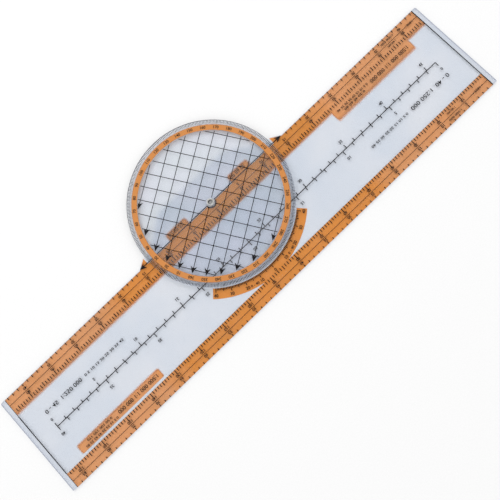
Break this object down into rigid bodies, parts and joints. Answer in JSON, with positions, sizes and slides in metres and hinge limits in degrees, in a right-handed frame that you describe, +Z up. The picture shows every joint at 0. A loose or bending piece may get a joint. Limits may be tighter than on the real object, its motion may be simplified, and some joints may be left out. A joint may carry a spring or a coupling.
{
  "type": "chart plotter",
  "caption": "Clear straightedge with printed map scales and a clear degree disc that turns on a hollow eyelet at its edge.",
  "frame": {"origin": "on the pivot's axis, in the plane of the underside that lies on the chart", "axes": "+X along the straightedge, +Y from the straightedge towards the tab, +Z up from the chart along the pivot"},
  "size_m": [0.3288, 0.1123, 0.0029],
  "materials": {
    "clear_sheet": "clear calendered plastic sheet, polished both sides",
    "clear_disc": "clear plastic sheet with a fine matt face",
    "orange_ink": "screen-printed orange ink",
    "black_ink": "screen-printed black ink",
    "eyelet_metal": "drawn and rolled, bright",
    "washer_metal": "stamped, plain"
  },
  "bodies": {
    "bar": {"base_plate": "clear_sheet", "spacer_washer": "washer_metal", "eyelet": "eyelet_metal", "back_washer": "washer_metal", "upper_band": "orange_ink", "lower_band": "orange_ink", "upper_label_panel": "orange_ink", "lower_label_panel": "orange_ink", "tab_label_panels": "orange_ink", "variation_panel": "orange_ink", "upper_edge_ticks": "black_ink", "upper_inner_ticks": "black_ink", "lower_inner_ticks": "black_ink", "lower_edge_ticks": "black_ink", "band_lines": "black_ink", "centre_scale": "black_ink", "index_line": "black_ink", "end_lines": "black_ink", "variation_ticks": "black_ink"},
    "disc": {"azimuth_disc": "clear_disc", "azimuth_ring": "orange_ink", "degree_ticks": "black_ink", "course_grid": "black_ink"}
  },
  "joints": [
    {"name": "disc_turn", "type": "hinge", "parent": "bar", "child": "disc", "pos_m": [0, 0, 0.00184], "axis": [0, 0, 1], "continuous": true}
  ]
}
